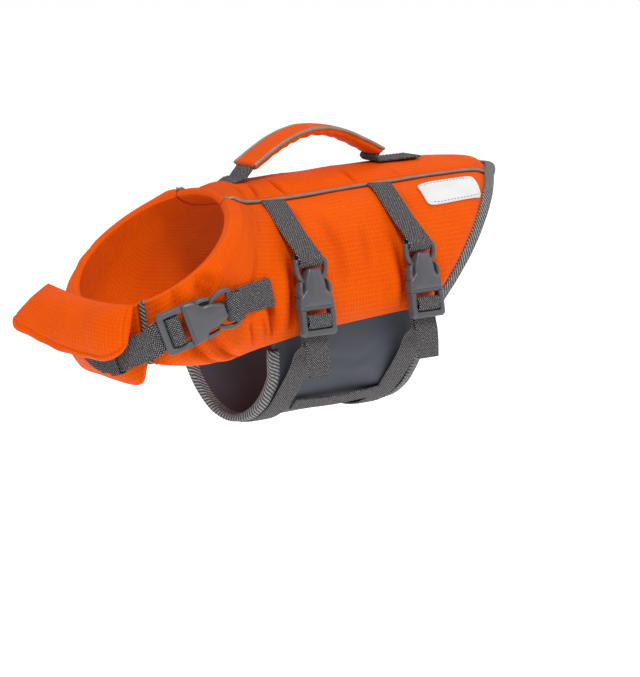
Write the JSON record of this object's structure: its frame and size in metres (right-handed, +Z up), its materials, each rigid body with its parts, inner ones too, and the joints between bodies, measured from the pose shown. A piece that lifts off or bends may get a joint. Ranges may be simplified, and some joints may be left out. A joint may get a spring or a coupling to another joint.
{
  "type": "dog life jacket",
  "caption": "Padded dog life jacket with a lift handle over the back, side-release girth straps, a neck strap and a chin float.",
  "frame": {"origin": "on the inner face of the spine strip where it lies on the wearer's back, at the middle of its length, on the mid-plane", "axes": "+X from the neck to the tail along the back, +Z up, +Y to the wearer's right side"},
  "size_m": [0.322, 0.1415, 0.1723],
  "materials": {
    "orange_shell": "ripstop nylon over foam",
    "grey_webbing": "woven polypropylene webbing",
    "grey_binding": "ribbed grosgrain binding",
    "belly_cloth": "smooth coated cloth",
    "reflective_piping": "reflective tape piping",
    "buckle_plastic": "moulded acetal",
    "label_cloth": "plain woven patch"
  },
  "bodies": {
    "root": {"spine_panel": "orange_shell", "flank_left": "orange_shell", "flank_right": "orange_shell", "chin_float": "orange_shell", "handle_grip": "orange_shell", "piping_left": "reflective_piping", "piping_right": "reflective_piping", "handle_piping_left": "reflective_piping", "handle_piping_right": "reflective_piping", "binding_rear": "grey_binding", "binding_closure": "grey_binding", "binding_belly_front": "grey_binding", "binding_belly_rear": "grey_binding", "belly_panel": "belly_cloth", "belly_web_left": "grey_webbing", "belly_web_right": "grey_webbing", "web_front_upper": "grey_webbing", "web_front_lower": "grey_webbing", "web_rear_upper": "grey_webbing", "web_rear_lower": "grey_webbing", "web_neck_tab": "grey_webbing", "web_neck": "grey_webbing", "web_neck_keeper": "grey_webbing", "handle_web_rear": "grey_webbing", "handle_web_front": "grey_webbing", "buckle_front_female": "buckle_plastic", "buckle_front_male": "buckle_plastic", "buckle_rear_female": "buckle_plastic", "buckle_rear_male": "buckle_plastic", "buckle_neck_female": "buckle_plastic", "buckle_neck_male": "buckle_plastic", "label_patch": "label_cloth"}
  },
  "joints": []
}
